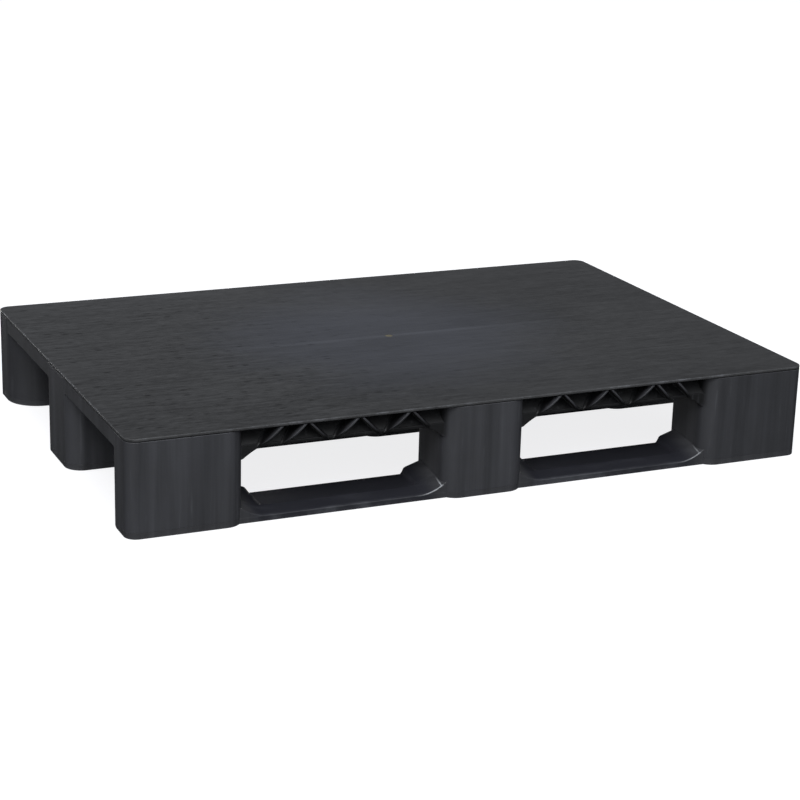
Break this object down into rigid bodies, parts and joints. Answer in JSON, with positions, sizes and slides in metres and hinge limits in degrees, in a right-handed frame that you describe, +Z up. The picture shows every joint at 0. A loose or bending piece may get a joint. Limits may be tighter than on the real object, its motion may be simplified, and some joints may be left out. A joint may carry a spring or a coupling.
{
  "type": "plastic pallet",
  "caption": "Rackable closed-deck plastic pallet with hollow legs, full-length runners, open fork pockets on all sides and a ribbed underside with steel reinforcement.",
  "frame": {"origin": "on the floor, under the middle of the pallet", "axes": "+X along the long side and the runners, +Y from the front long side to the rear one, +Z up"},
  "size_m": [1.2, 0.8, 0.16],
  "materials": {
    "deck_plastic": "satin moulded polyethylene with a fine streaked flow texture",
    "frame_plastic": "satin moulded polyethylene",
    "runner_plastic": "satin moulded polyethylene, scuffed along its edges",
    "plug_plastic": "plain moulded",
    "galvanised_steel": "galvanised",
    "screw_steel": "zinc plated"
  },
  "bodies": {
    "root": {"deck_cover": "deck_plastic", "deck_frame": "frame_plastic", "runner_front": "runner_plastic", "runner_middle": "runner_plastic", "runner_rear": "runner_plastic", "reinforcement_tube_front": "galvanised_steel", "tube_plug_front_left": "plug_plastic", "tube_plug_front_right": "plug_plastic", "reinforcement_tube_middle": "galvanised_steel", "tube_plug_middle_left": "plug_plastic", "tube_plug_middle_right": "plug_plastic", "reinforcement_tube_rear": "galvanised_steel", "tube_plug_rear_left": "plug_plastic", "tube_plug_rear_right": "plug_plastic", "runner_screw_front_left_1": "screw_steel", "runner_screw_front_left_2": "screw_steel", "runner_screw_front_centre_1": "screw_steel", "runner_screw_front_centre_2": "screw_steel", "runner_screw_front_right_1": "screw_steel", "runner_screw_front_right_2": "screw_steel", "runner_screw_middle_left_1": "screw_steel", "runner_screw_middle_left_2": "screw_steel", "runner_screw_middle_centre_1": "screw_steel", "runner_screw_middle_centre_2": "screw_steel", "runner_screw_middle_right_1": "screw_steel", "runner_screw_middle_right_2": "screw_steel", "runner_screw_rear_left_1": "screw_steel", "runner_screw_rear_left_2": "screw_steel", "runner_screw_rear_centre_1": "screw_steel", "runner_screw_rear_centre_2": "screw_steel", "runner_screw_rear_right_1": "screw_steel", "runner_screw_rear_right_2": "screw_steel"}
  },
  "joints": []
}
